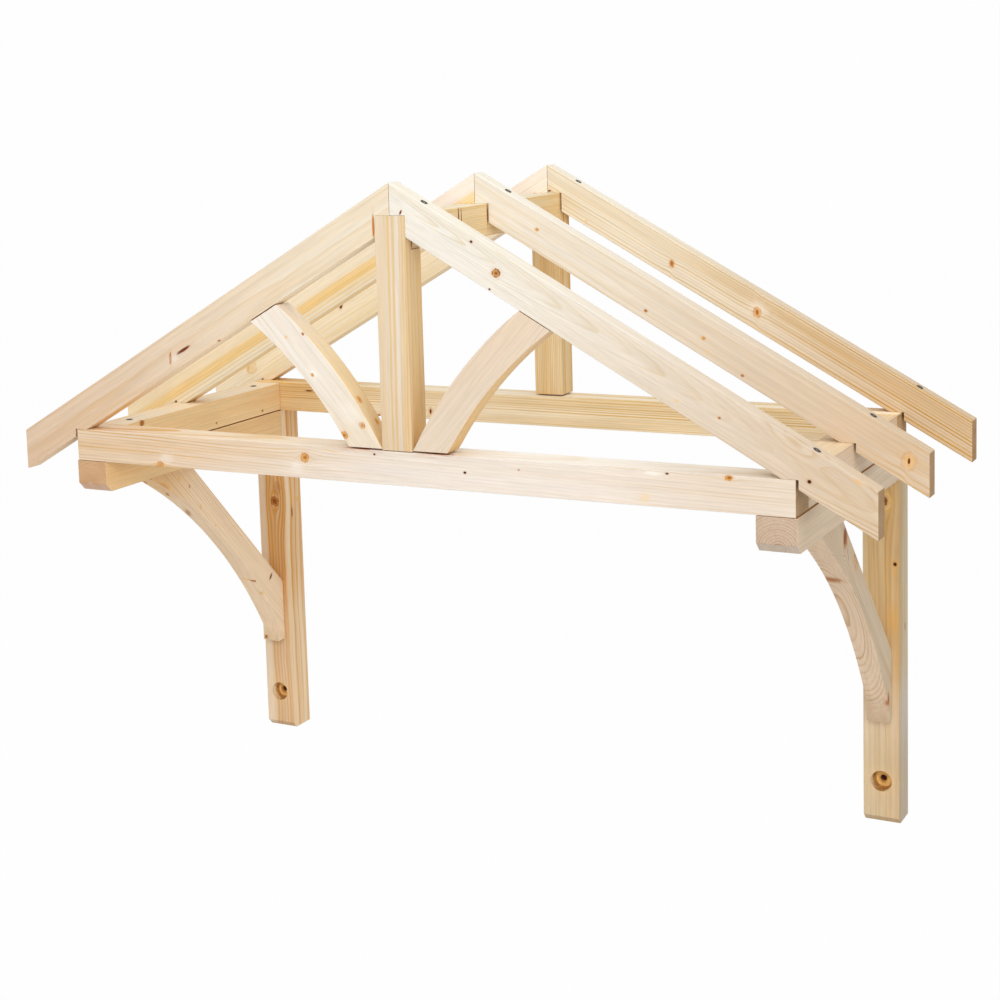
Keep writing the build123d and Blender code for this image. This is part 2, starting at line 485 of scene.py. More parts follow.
class SpruceShop:
    """Builds the shared wood groups and a material for each timber.

    Attributes:
        RELIEF: Strength of the grain's relief.
        RELIEF_HEIGHT: Its height.
        SHEEN: Specular level of the planed wood.
    """

    RELIEF = 0.35
    RELIEF_HEIGHT = 0.0004
    SHEEN = 0.1

    def __init__(self) -> None:
        """Build the node groups."""
        self.rings = self._growth_rings()
        self.pull = self._knot_pull()
        self.face = self._knot_face()
        self.body = self._wood_colour()
        self.sawn = self._sawn_end()

    def _growth_rings(self) -> GroupPlan:
        """Build the rings around the pith, with their wander, bands and fibres."""
        inputs = {"Grain": "vector", "Pull": "vector"}
        inputs |= dict.fromkeys(("Spacing", "Wander", "Seed"), "value")
        outputs = dict.fromkeys(("Ring", "Band", "Fibre", "Fleck"), "value")
        plan = GroupPlan("spruce_growth_rings", inputs, outputs)
        s, given, result = plan.sketch, plan.given, plan.result
        place = s.vector("ADD", given["Grain"], s.join(given["Seed"], s.times(given["Seed"], 1.7)))

        def wander(scale: Triple, detail: float, share: float) -> Socket:
            """Give one layer of the rings' wander."""
            return s.scaled(s.scaled(s.stray(place, scale, detail), given["Wander"]), share)

        broad = wander((1.1, 4.5, 4.5), 1.0, 2.2)
        fine = wander((5.5, 24.0, 24.0), 2.0, 0.55)
        shifted = s.vector("ADD", given["Grain"], s.vector("ADD", broad, fine))
        bent = s.node("SeparateXYZ")
        s.feed(bent.inputs[0], s.vector("ADD", shifted, given["Pull"]))
        radius = s.vector("LENGTH", s.join(0.0, bent.outputs[1], bent.outputs[2]))
        uneven = s.times(s.cloud(s.join(s.times(radius, 34.0), given["Seed"]), 1.0), 1.8)
        count = s.math("ADD", s.math("DIVIDE", radius, given["Spacing"]), uneven)
        phase = s.math("FRACT", count)
        rise = s.math("POWER", s.step(phase, 0.32, 0.90), 1.7)
        fall = s.step(phase, 0.90, 1.0, 1.0, 0.0)
        strength = s.node("TexWhiteNoise", noise_dimensions="1D")
        year = s.math("ADD", s.math("FLOOR", count), s.times(given["Seed"], 7.3))
        s.feed(strength.inputs["W"], year)
        level = s.math("MULTIPLY_ADD", s.math("POWER", strength.outputs["Value"], 1.4), 0.75, 0.25)
        fade = s.step(s.cloud(place, (1.6, 7.0, 7.0)), 0.30, 0.70, 0.45, 1.25)
        s.feed(result["Ring"], s.times(s.times(s.times(rise, fall), level), fade))
        s.feed(result["Band"], s.cloud(place, (0.8, 26.0, 26.0), 2.5))
        s.feed(result["Fibre"], s.cloud(place, (18.0, 620.0, 620.0), 3.0, 0.6))
        s.feed(result["Fleck"], s.cloud(place, (5.0, 130.0, 130.0), 2.0, 0.6))
        return plan

    def _knot_pull(self) -> GroupPlan:
        """Build the way the fibres part and close again around a knot."""
        inputs = {"Place": "vector", "Reach": "value"}
        plan = GroupPlan("knot_pull_on_grain", inputs, {"Weight": "value"})
        s, given = plan.sketch, plan.given
        squashed = s.vector("MULTIPLY", given["Place"], (0.45, 1.0, 1.0))
        square = s.vector("DOT_PRODUCT", squashed, squashed)
        near = s.math("DIVIDE", given["Reach"], s.math("ADD", square, 0.55))
        s.feed(plan.result["Weight"], s.times(near, s.math("EXPONENT", s.times(square, -0.04))))
        return plan

    def _knot_face(self) -> GroupPlan:
        """Build the knot's own face: heart, its rings and rays, dark rim and a warm halo."""
        inputs = {"Place": "vector"}
        inputs |= dict.fromkeys(("Wood", "Heart", "Rim"), "colour")
        inputs |= dict.fromkeys(("Edge", "Rays", "Solid", "Fade", "Share"), "value")
        plan = GroupPlan("knot_face", inputs, {"Colour": "colour"})
        s, given = plan.sketch, plan.given
        place, heart, rim = (given[label] for label in ("Place", "Heart", "Rim"))
        edge, share = given["Edge"], given["Share"]
        bent = s.vector("ADD", place, s.scaled(s.stray(place, 1.2, 2.0), 0.45))
        distance = s.vector("LENGTH", bent)
        wisps = s.step(s.cloud(place, 1.7), 0.40, 0.62, 0.25, 1.0)
        halo = s.times(s.times(s.step(distance, 0.9, 2.2, 0.5, 0.0), wisps), given["Solid"])
        glow = s.mix(0.7, given["Wood"], s.mix(1.0, heart, rim, "LIGHTEN"))
        warm = s.mix(s.times(halo, share), given["Wood"], glow)
        lines = s.step(s.math("SINE", s.times(distance, 17.0)), -0.1, 0.95, 0.0, 0.45)
        beside = s.vector("ADD", place, (3.0, 1.0, 2.0))
        uneven = s.step(s.cloud(beside, 1.0, 1.0), 0.40, 0.66, 0.0, 0.5)
        face = s.mix(s.times(s.math("MAXIMUM", lines, uneven), edge), heart, rim)
        face = s.mix(s.times(s.step(distance, 0.10, 0.50, 0.85, 0.0), edge), face, rim)
        spokes = s.cloud(s.vector("NORMALIZE", bent), 6.5, 1.0)
        rays = s.times(s.step(spokes, 0.52, 0.62), s.step(distance, 0.95, 0.30))
        rays = s.times(rays, given["Rays"])
        face = s.mix(rays, face, rim)
        solid = s.times(s.step(distance, given["Fade"], KNOT_END, 1.0, 0.0), given["Solid"])
        core = s.math("MAXIMUM", solid, s.times(rays, 0.9))
        knot = s.mix(s.times(core, share), warm, face)
        patchy = s.step(s.cloud(place, 0.8, 1.0), 0.38, 0.58, 0.2, 1.0)
        gap = s.math("ABSOLUTE", s.math("SUBTRACT", distance, 0.92))
        line = s.times(s.step(gap, 0.02, 0.26, 0.85, 0.0), s.times(patchy, s.times(edge, share)))
        s.feed(plan.result["Colour"], s.mix(line, knot, rim))
        return plan

    def _wood_colour(self) -> GroupPlan:
        """Build the colour, roughness and relief of a long face from its grain."""
        inputs = dict.fromkeys(("Ring", "Band", "Fibre", "Fleck"), "value")
        inputs |= {"Early": "colour", "Late": "colour", "Contrast": "value"}
        outputs = {"Colour": "colour", "Roughness": "value", "Height": "value"}
        plan = GroupPlan("spruce_wood", inputs, outputs)
        s, given, result = plan.sketch, plan.given, plan.result
        late = s.times(given["Ring"], given["Contrast"], clamp=True)
        wood = s.mix(late, given["Early"], given["Late"])
        warmth = s.step(given["Band"], 0.36, 0.70, 0.06, 0.40)
        wood = s.mix(s.times(warmth, given["Contrast"]), wood, given["Late"])
        fibres = s.step(given["Fibre"], 0.25, 0.75, 0.95, 1.04)
        tone = s.math("ADD", fibres, s.step(given["Fleck"], 0.3, 0.7, -0.055, 0.03))
        shade = s.node("CombineColor")
        for socket in shade.inputs[:3]:
            s.feed(socket, tone)
        s.feed(result["Colour"], s.mix(1.0, wood, shade.outputs[0], "MULTIPLY"))
        rough = s.math("MULTIPLY_ADD", given["Fibre"], 0.16, 0.50)
        s.feed(result["Roughness"], s.math("MULTIPLY_ADD", late, -0.08, rough))
        s.feed(result["Height"], s.math("ADD", s.times(given["Fibre"], 0.6), s.times(late, 0.5)))
        return plan

    def _sawn_end(self) -> GroupPlan:
        """Build the darker, greyer face of wood cut across its fibres."""
        inputs = dict.fromkeys(("Normal", "Grain", "Place"), "vector")
        inputs |= {"Colour": "colour", "Tone": "colour", "Ring": "value"}
        plan = GroupPlan("sawn_end", inputs, {"Colour": "colour"})
        s, given = plan.sketch, plan.given
        facing = s.math("ABSOLUTE", s.vector("DOT_PRODUCT", given["Normal"], given["Grain"]))
        darker = s.mix(1.0, given["Colour"], given["Tone"], "MULTIPLY")
        ringed = s.mix(s.times(given["Ring"], 0.95, clamp=True), darker, tint(158, 104, 56))
        saw = s.step(s.cloud(given["Place"], (210.0, 34.0, 210.0)), 0.35, 0.75, 0.0, 0.16)
        marked = s.mix(saw, ringed, tint(150, 116, 84))
        s.feed(plan.result["Colour"], s.mix(s.step(facing, 0.52, 0.97), given["Colour"], marked))
        return plan

    def material(self, finish: SpruceFinish) -> bpy.types.Material:
        """Make one timber's material.

        Args:
            finish: The timber's grain, colours and knots.

        Returns:
            The material.
        """
        material = bpy.data.materials.new(finish.name)
        material.use_nodes = True
        s = Sketch(material.node_tree)
        shader = material.node_tree.nodes["Principled BSDF"]
        place = s.node("TexCoord").outputs["Object"]
        turn = grain_turn(finish.grain)
        grain = self._mapping(s, place, finish.pith, turn, (1.0, 1.0, 1.0))
        measured = s.vector("DOT_PRODUCT", place, finish.grain)
        spots = []
        pull: object = (0.0, 0.0, 0.0)
        for knot in finish.knots:
            along = grain_turn(knot.along) if knot.along else turn
            size = (knot.radius * knot.stretch, knot.radius, knot.radius)
            spot = self._mapping(s, place, knot.place, along, size)
            spots.append((knot, spot))
            reach = knot.kind.value.pull * knot.radius * knot.share * finish.flow
            if reach > 0:
                weight = self.pull.use(s, Place=spot, Reach=reach)["Weight"]
                inward = s.vector("MULTIPLY", spot, (0.0, -1.0, -1.0))
                pull = s.vector("ADD", s.scaled(inward, weight), pull)
        own = {"Spacing": finish.spacing, "Wander": finish.wander, "Seed": finish.seed}
        rings = self.rings.use(s, Grain=grain, Pull=pull, **own)
        ring = rings["Ring"]
        if finish.lanes:
            ring = self._lanes(s, place, s.vector("ADD", grain, pull), finish, ring)
        contrast: object = finish.contrast
        if finish.swell:
            contrast = s.step(measured, *finish.swell)
        texture = {label: rings[label] for label in ("Band", "Fibre", "Fleck")}
        shades = {"Early": finish.early, "Late": finish.late, "Contrast": contrast}
        wood = self.body.use(s, Ring=ring, **texture, **shades)
        normal = s.node("NewGeometry").outputs["Normal"]
        facts = {"Normal": normal, "Grain": tuple(turn.col[0]), "Place": place, "Tone": finish.end}
        colour = self.sawn.use(s, Colour=wood["Colour"], Ring=ring, **facts)["Colour"]
        to_side = s.vector("DOT_PRODUCT", normal, ACROSS)
        upward = s.vector("DOT_PRODUCT", normal, UPRIGHT)
        # Painted light and shade on the faces that look along +X.
        colour = self._toned(s, colour, to_side, (0.55, 0.78), finish.side_shading)
        # Painted light and shade on the underside.
        colour = self._toned(s, colour, upward, (-0.30, -0.60), finish.underside_shading)
        # Painted light and shade on the top.
        colour = self._toned(s, colour, upward, (0.80, 0.95), finish.top_shading)
        # Slow drifts along the grain: the wood's own tone and painted shade.
        for drift in finish.tone_and_shade_drifts:
            colour = self._toned(s, colour, measured, (drift.start, drift.end), drift.tone)
        for knot, spot in spots:
            colour = self.face.use(
                s, Place=spot, Wood=colour, Share=knot.share, **knot.kind.value.terms()
            )["Colour"]
        bump = s.node("Bump")
        bump.inputs["Strength"].default_value = self.RELIEF
        bump.inputs["Distance"].default_value = self.RELIEF_HEIGHT
        s.feed(bump.inputs["Height"], wood["Height"])
        s.feed(shader.inputs["Base Color"], colour)
        s.feed(shader.inputs["Roughness"], wood["Roughness"])
        s.feed(shader.inputs["Normal"], bump.outputs["Normal"])
        shader.inputs["Specular IOR Level"].default_value = self.SHEEN
        return material

    @staticmethod
    def _toned(
        s: Sketch, colour: Socket, measured: Socket, span: tuple[float, float], tone: Rgba
    ) -> Socket:
        """Ease a colour over a span of a measure to its product with a tone."""
        if tone == PLAIN:
            return colour
        return s.mix(s.step(measured, *span), colour, s.mix(1.0, colour, tone, "MULTIPLY"))

    @staticmethod
    def _mapping(s: Sketch, place: Socket, centre: Triple, turn: Matrix, size: Triple) -> Socket:
        """Measure a place from a centre, along turned axes, in units of a size."""
        node = s.node("Mapping", vector_type="TEXTURE")
        s.feed(node.inputs["Vector"], place)
        node.inputs["Location"].default_value = centre
        node.inputs["Rotation"].default_value = turn.to_euler()
        node.inputs["Scale"].default_value = size
        return node.outputs["Vector"]

    @staticmethod
    def _lanes(
        s: Sketch, place: Socket, grain: Socket, finish: SpruceFinish, ring: Socket
    ) -> Socket:
        """Lay straight stripes of late wood side by side across a timber."""
        lanes = finish.lanes
        turn = grain_turn(finish.grain).transposed()
        across = turn @ Vector(lanes.across).normalized() / lanes.width
        start = turn @ (Vector(lanes.start) - Vector(finish.pith))
        lane = s.vector("DOT_PRODUCT", s.vector("SUBTRACT", grain, tuple(start)), tuple(across))
        for scale, share in ((2.4, 1.0), (8.0, 0.35)):
            waver = s.math("SUBTRACT", s.cloud(place, scale, 1.0), 0.5)
            lane = s.math("MULTIPLY_ADD", waver, lanes.waver * share, lane)
        ramp = s.node("ValToRGB")
        s.feed(ramp.inputs[0], lane)
        stops = ramp.color_ramp.elements
        for (at, level), stop in zip(lanes.stops[:2], list(stops)):
            stop.position, stop.color = at, (level, level, level, 1.0)
        for at, level in lanes.stops[2:]:
            stops.new(at).color = (level, level, level, 1.0)
        return s.math("MAXIMUM", s.times(ring, lanes.rest), ramp.outputs[0])


# ---------------------------------------------------------------------------
# Timbers


def round_edges(width: float) -> None:
    """Round the selected edges over a width, in two steps."""
    bpy.ops.mesh.bevel(
        offset=width, offset_pct=0, segments=2, profile=0.5, affect="EDGES", clamp_overlap=True
    )


@dataclass(frozen=True)
class Shaving:
    """A thin slice planed off one flat end or face, so that its joint shows.

    Attributes:
        facing: The way the face looks.
        depth: How much is planed off.
    """

    facing: Triple
    depth: float


@dataclass
class Timber:
    """A timber dressed over its own solid.

    Attributes:
        node: Name of the solid it stands for.
        finish: Its wood.
        shavings: Faces planed back.
        ease: Width of its eased arrises.
        WELD: Corners closer than this are one.
        FLAT: Facets that meet at less than this angle are one face.
        SMOOTH: Faces that meet at less than this angle are shaded as one.
        ARRIS: Edges that turn by more than this angle are eased.
        SHORTEST: Length of the shortest eased edge, in widths of the ease.
        SAME_FACE: How far a face may lie behind the outermost one and still belong to it.
    """

    WELD = 1e-5
    FLAT = math.radians(0.4)
    SMOOTH = math.radians(35)
    ARRIS = math.radians(28)
    SHORTEST = 5
    SAME_FACE = 1e-4

    node: str
    finish: SpruceFinish
    shavings: tuple[Shaving, ...]
    ease: float = 0.0016

    def build(self, shop: SpruceShop, nodes: dict[str, bpy.types.Object]) -> bpy.types.Object:
        """Model and dress the timber.

        Args:
            shop: Makes its material.
            nodes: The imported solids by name.

        Returns:
            The finished piece.
        """
        bpy.ops.object.select_all(action="DESELECT")
        solid = nodes[self.node]
        piece = bpy.data.objects.new(f"{self.node}_timber", solid.data.copy())
        bpy.context.scene.collection.objects.link(piece)
        bpy.context.view_layer.objects.active = piece
        piece.select_set(True)
        bpy.ops.object.mode_set(mode="EDIT")
        self._join_facets()
        for shaving in self.shavings:
            self._plane_back(piece, shaving)
        self._ease_arrises(piece)
        bpy.ops.object.mode_set(mode="OBJECT")
        bpy.ops.object.shade_smooth_by_angle(angle=self.SMOOTH)
        weigh = piece.modifiers.new("weigh_normals", "WEIGHTED_NORMAL")
        weigh.keep_sharp = True
        bpy.ops.object.modifier_apply(modifier=weigh.name)
        piece.data.materials.clear()
        piece.data.materials.append(shop.material(self.finish))
        piece.select_set(False)
        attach(piece, BODY)
        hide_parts(self.node)
        faces, marks = len(piece.data.polygons), len(self.finish.knots)
        LOG.info("%s: %d faces, %d knots and marks", piece.name, faces, marks)
        return piece

    def _join_facets(self) -> None:
        """Merge the solid's loose triangles back into its flat faces."""
        bpy.ops.mesh.select_mode(type="VERT")
        bpy.ops.mesh.select_all(action="SELECT")
        bpy.ops.mesh.remove_doubles(threshold=self.WELD)
        bpy.ops.mesh.dissolve_limited(angle_limit=self.FLAT)

    def _plane_back(self, piece: bpy.types.Object, shaving: Shaving) -> None:
        """Move the outermost face that looks one way back by a shaving."""
        facing = Vector(shaving.facing).normalized()
        bpy.ops.mesh.select_mode(type="FACE")
        bpy.ops.mesh.select_all(action="DESELECT")
        mesh = bmesh.from_edit_mesh(piece.data)
        turned = [face for face in mesh.faces if face.normal.dot(facing) > SAME_WAY]
        reach = {face: face.calc_center_median().dot(facing) for face in turned}
        outermost = max(reach.values())
        for face in turned:
            face.select_set(reach[face] > outermost - self.SAME_FACE)
        bmesh.update_edit_mesh(piece.data)
        bpy.ops.transform.translate(value=-facing * shaving.depth)

    def _ease_arrises(self, piece: bpy.types.Object) -> None:
        """Round the long outer arrises a little, as a plane leaves them."""
        bpy.ops.mesh.select_mode(type="EDGE")
        bpy.ops.mesh.select_all(action="DESELECT")
        mesh = bmesh.from_edit_mesh(piece.data)
        for edge in mesh.edges:
            outer = edge.is_manifold and edge.is_convex
            sharp = outer and edge.calc_face_angle() > self.ARRIS
            edge.select_set(sharp and edge.calc_length() > self.SHORTEST * self.ease)
        bmesh.update_edit_mesh(piece.data)
        round_edges(self.ease)


# ---------------------------------------------------------------------------
# Sub-assemblies


class Side(Enum):
    """The canopy's two sides, seen from the front."""

    LEFT = ("left", -1.0)
    RIGHT = ("right", 1.0)

    @property
    def label(self) -> str:
        """The side's name in the solids' names."""
        return self.value[0]

    @property
    def sign(self) -> float:
        """The side's sign along X."""
        return self.value[1]


@dataclass
class LevelFrame:
    """The level frame: front and rear tie beams with the side plates between them.

    Attributes:
        joint: Depth of the shadow line at the side plates' ends.
        tip: How much wider the rafters' notches stand open than on the drawing.
        under: Shadow line between the left plate and its arm; the right one's is half of it.
    """

    joint: float = 0.0006
    tip: float = 0.0034
    under: float = 0.0020

    def timbers(self) -> list[Timber]:
        """List the frame's four timbers."""
        front = SpruceFinish(
            "spruce_front_beam", (1.0, 0.0, -0.022), (0.0, -0.905, -0.11), 3.1,
            early=tint(236, 225, 214), late=tint(211, 159, 22), spacing=0.0068, wander=0.008,
            flow=1.3, swell=(-0.45, 0.10, 0.90, 0.30), side_shading=tint(255, 255, 246),
            top_shading=tint(270, 276, 280),
            tone_and_shade_drifts=(
                Drift(0.0, -0.75, tint(252, 239, 222)),
                Drift(0.40, 0.90, tint(245, 240, 233)),
            ),
            knots=(
                Knot((-0.2687, -0.966, 0.0104), 0.0122, 1.0),
                Knot((-0.2675, -0.966, 0.0110), 0.0042, 1.3, Mark.BROWN, share=0.7),
                Knot((-0.7219, -0.966, -0.0395), 0.0100, 1.1),
                Knot((-0.7020, -0.966, -0.0180), 0.0180, 1.5, Mark.BALD, share=0.35),
                Knot((-0.2950, -0.966, -0.0160), 0.0170, 1.4, Mark.BALD, share=0.35),
                Knot((-0.0652, -0.966, 0.0322), 0.0026, 1.2, Mark.SPECK),
                Knot((-0.1900, -0.966, 0.0330), 0.0018, 16.0, Mark.STREAK_AND_BOUNCE_LIGHT, (1.0, 0.0, -0.14), 0.7),
                # Painted shade: dark marks on the beam's top under the struts' feet, seen in their
                # shadow lines.
                Knot((-0.1080, -0.9575, 0.0500), 0.0115, 5.0, Mark.GAP_SHADE),
                Knot((0.1080, -0.9575, 0.0500), 0.0115, 5.0, Mark.GAP_SHADE),
                Knot((0.1845, -0.966, 0.0033), 0.0032, 1.3, Mark.SPECK),
                Knot((0.3276, -0.966, 0.0199), 0.0022, 1.4, Mark.DARK, share=0.7),
                Knot((0.8445, -0.966, 0.0367), 0.0060, 1.5, Mark.LIVE),
                Knot((0.8455, -0.966, 0.0372), 0.0032, 1.6, Mark.BROWN),
                Knot((0.6992, -0.966, 0.0366), 0.0024, 1.8, Mark.SPECK),
                Knot((0.6640, -0.966, 0.0350), 0.0065, 4.0, Mark.BALD, share=0.55),
                Knot((0.6450, -0.966, -0.0229), 0.0120, 1.2, Mark.BLOTCH_AND_BOUNCE_LIGHT, share=0.7),
            ),
        )
        rear = SpruceFinish(
            "spruce_rear_beam", ACROSS, (0.0, -0.07, -0.16), 8.4,
            early=tint(250, 232, 202), late=tint(217, 164, 34), contrast=0.9, spacing=0.0070,
            wander=0.004, top_shading=tint(261, 268, 282),
            tone_and_shade_drifts=(Drift(-0.50, -0.80, tint(252, 236, 208)),),
            knots=(
                Knot((-0.3765, -0.095, -0.0188), 0.0110, 1.4, Mark.STREAK_AND_BOUNCE_LIGHT, UPRIGHT, 0.6),
                Knot((-0.3765, -0.095, -0.0188), 0.0032, 2.4, Mark.SLIT_AND_GAP_SHADE, UPRIGHT),
                Knot((-0.7984, -0.095, 0.0229), 0.0022, 6.0, Mark.SLIT_AND_GAP_SHADE),
                Knot((-0.5534, -0.095, -0.0403), 0.0042, 1.2, Mark.DARK),
            ),
        )
        left = SpruceFinish(
            "spruce_left_plate", OUTWARD, (-0.99, 0.0, -0.08), 5.7,
            early=tint(244, 211, 161), late=tint(222, 145, 22), contrast=0.4,
            top_shading=tint(258, 276, 316),
            knots=(
                Knot((-0.905, -0.7974, 0.036), 0.0090, 1.1, Mark.DARK),
                Knot((-0.905, -0.4415, -0.0247), 0.0030, 1.3, Mark.DARK),
                Knot((-0.905, -0.1963, -0.0280), 0.0036, 1.3, Mark.DARK),
            ),
        )
        right = SpruceFinish(
            "spruce_right_plate", OUTWARD, (0.93, 0.0, -0.05), 11.2,
            early=tint(218, 200, 178), late=tint(203, 145, 22), contrast=0.55,
            top_shading=tint(268, 264, 252),
            knots=(Knot((1.0, -0.60, 0.022), 0.0012, 60.0, Mark.SLIT_AND_GAP_SHADE, share=0.8),),
        )
        ends = (Shaving((0, 1, 0), self.joint), Shaving((0, -1, 0), self.joint))
        tips = (Shaving(ACROSS, self.tip), Shaving((-1, 0, 0), self.tip))
        unders = (Shaving((0, 0, -1), self.under), Shaving((0, 0, -1), self.under / 2))
        return [
            Timber("front_tie_beam", front, tips),
            Timber("rear_tie_beam", rear, tips),
            Timber("side_plate_left", left, (*ends, tips[1], unders[0])),
            Timber("side_plate_right", right, (*ends, tips[0], unders[1])),
        ]


@dataclass
class WallBracket:
    """A gallows bracket on one side: wall post, arm and hollowed brace.

    Attributes:
        side: Which side it hangs on.
        arm_gap: Shadow line between the arm and the plate over it.
        post_gap: Shadow line between the arm and the post.
        brace_gap: Shadow line at the brace's ends.
    """

    side: Side
    arm_gap: float = 0.0010
    post_gap: float = 0.0010
    brace_gap: float = 0.0008

    def timbers(self) -> list[Timber]:
        """List the bracket's three timbers."""
        if self.side is Side.LEFT:
            post, arm, brace = self._left_finishes()
        else:
            post, arm, brace = self._right_finishes()
        name = self.side.label
        arm_cuts = (Shaving((0, 0, 1), self.arm_gap), Shaving((0, 1, 0), self.post_gap))
        brace_cuts = (Shaving((0, 0, 1), self.brace_gap), Shaving((0, 1, 0), self.brace_gap))
        return [
            Timber(f"wall_post_{name}", post, (Shaving((0, 0, 1), self.post_gap),)),
            Timber(f"bracket_arm_{name}", arm, arm_cuts),
            Timber(f"bracket_brace_{name}", brace, brace_cuts),
        ]

    def _bolt_hole_shading(self) -> tuple[Knot, ...]:
        """Give the post's foot its turned recess, painted with warm bounced light and a shaded rim,
        and painted shade on the bolt hole's wall.
        """
        x = self.side.sign * 0.9525
        return (
            Knot((x, -0.0600, -0.9485), 0.0300, 1.0, Mark.RECESS_LIGHT_AND_SHADE),
            Knot((x, -0.0340, -0.9485), 0.0110, 3.1, Mark.BORE_SHADE, OUTWARD),
        )

    def _left_finishes(self) -> tuple[SpruceFinish, SpruceFinish, SpruceFinish]:
        """Give the left post, arm and brace their wood."""
        post = SpruceFinish(
            "spruce_left_post", UPRIGHT, (-0.925, 0.03, 0.0), 14.6,
            early=tint(240, 222, 196), late=tint(206, 144, 62), spacing=0.0085, wander=0.008,
            flow=1.3, swell=(-0.72, -0.56, 0.80, 1.30), side_shading=tint(262, 260, 251),
            knots=(
                Knot((-0.9414, -0.095, -0.3336), 0.0145, 1.1, Mark.DARK),
                Knot((-0.9414, -0.095, -0.3336), 0.0075, 1.1, Mark.DEAD),
                Knot((-0.9300, -0.095, -0.2900), 0.0120, 1.8, Mark.BROWN, share=0.45),
                Knot((-0.905, -0.0217, -0.3379), 0.0060, 1.5, Mark.STREAK_AND_BOUNCE_LIGHT, (0.0, 0.6, 1.0)),
                Knot((-0.905, -0.0550, -0.3736), 0.0028, 6.0, Mark.SLIT_AND_GAP_SHADE),
                *self._bolt_hole_shading(),
            ),
            lanes=Lanes(
                (-1.0, -0.095, 0.0), (1.0, 0.9, 0.0), 0.1342,
                (
                    (0.0, 0.15), (0.12, 0.15), (0.16, 0.30), (0.18, 1.0), (0.21, 0.30),
                    (0.25, 0.80), (0.28, 0.35), (0.32, 0.75), (0.34, 0.30), (0.375, 0.85),
                    (0.40, 0.35), (0.44, 0.90), (0.46, 0.45), (0.49, 0.75), (0.52, 0.15),
                    (0.58, 0.10), (0.64, 0.12), (0.67, 0.90), (0.70, 0.35), (0.78, 0.30),
                    (0.80, 0.75), (0.83, 0.25), (0.90, 0.20), (0.93, 0.60), (1.0, 0.2),
                ),
                waver=0.16, rest=0.35,
            ),
        )
        arm = SpruceFinish(
            "spruce_left_arm", OUTWARD, (-0.96, 0.0, -0.11), 17.3,
            early=tint(233, 202, 164), late=tint(212, 143, 54), contrast=0.3,
            end=tint(236, 222, 212), side_shading=tint(255, 249, 228), underside_shading=tint(244, 240, 255),
            # The arm's top is tinted dark: painted shade in the shadow line under the plate.
            top_shading=tint(214, 168, 120),
        )
        brace = SpruceFinish(
            "spruce_left_brace", (0.0, -1.0, 1.0), (-0.99, -0.43, -0.43), 20.9,
            early=tint(244, 218, 184), late=tint(186, 109, 22), contrast=0.45, spacing=0.0060,
            tone_and_shade_drifts=(Drift(0.30, 0.56, tint(245, 229, 202)),),
            knots=(
                Knot((-0.9235, -0.5651, -0.1914), 0.0038, 1.4, Mark.DARK, UPRIGHT, 0.6),
                Knot((-0.9235, -0.6138, -0.1568), 0.0040, 1.8, Mark.STREAK_AND_BOUNCE_LIGHT, UPRIGHT),
                Knot((-0.9235, -0.6772, -0.1647), 0.0030, 9.0, Mark.STREAK_AND_BOUNCE_LIGHT, (0.0, -0.95, 0.75)),
                Knot((-0.9235, -0.5165, -0.2637), 0.0036, 2.2, Mark.STREAK_AND_BOUNCE_LIGHT, UPRIGHT),
                Knot((-0.9667, -0.5196, -0.2817), 0.0080, 3.2, Mark.BROWN, (0.4, -0.8, 0.65), 0.6),
                Knot((-0.9569, -0.6282, -0.2041), 0.0045, 3.0, Mark.DARK, (0.4, -0.85, 0.55), 0.8),
                Knot((-0.9709, -0.7095, -0.1545), 0.0035, 3.0, Mark.DARK, (0.4, -0.85, 0.5), 0.8),
                Knot((-0.9235, -0.4434, -0.3329), 0.0030, 1.2, Mark.STREAK_AND_BOUNCE_LIGHT),
                Knot((-0.9520, -0.2530, -0.5470), 0.0032, 7.0, Mark.STREAK_AND_BOUNCE_LIGHT, (1.0, 0.1, -0.1)),
                Knot((-0.9300, -0.2500, -0.5505), 0.0042, 2.8, Mark.DARK, (1.0, 0.1, -0.1)),
                Knot((-0.9274, -0.2136, -0.5977), 0.0060, 1.4, Mark.STREAK_AND_BOUNCE_LIGHT, (1.0, 0.2, -0.2)),
                Knot((-0.9235, -0.1627, -0.5565), 0.0044, 2.5, Mark.SLIT_AND_GAP_SHADE, (0.0, 0.75, 1.0)),
                Knot((-0.9712, -0.1310, -0.7629), 0.0048, 1.4, Mark.DARK),
            ),
        )
        return post, arm, brace

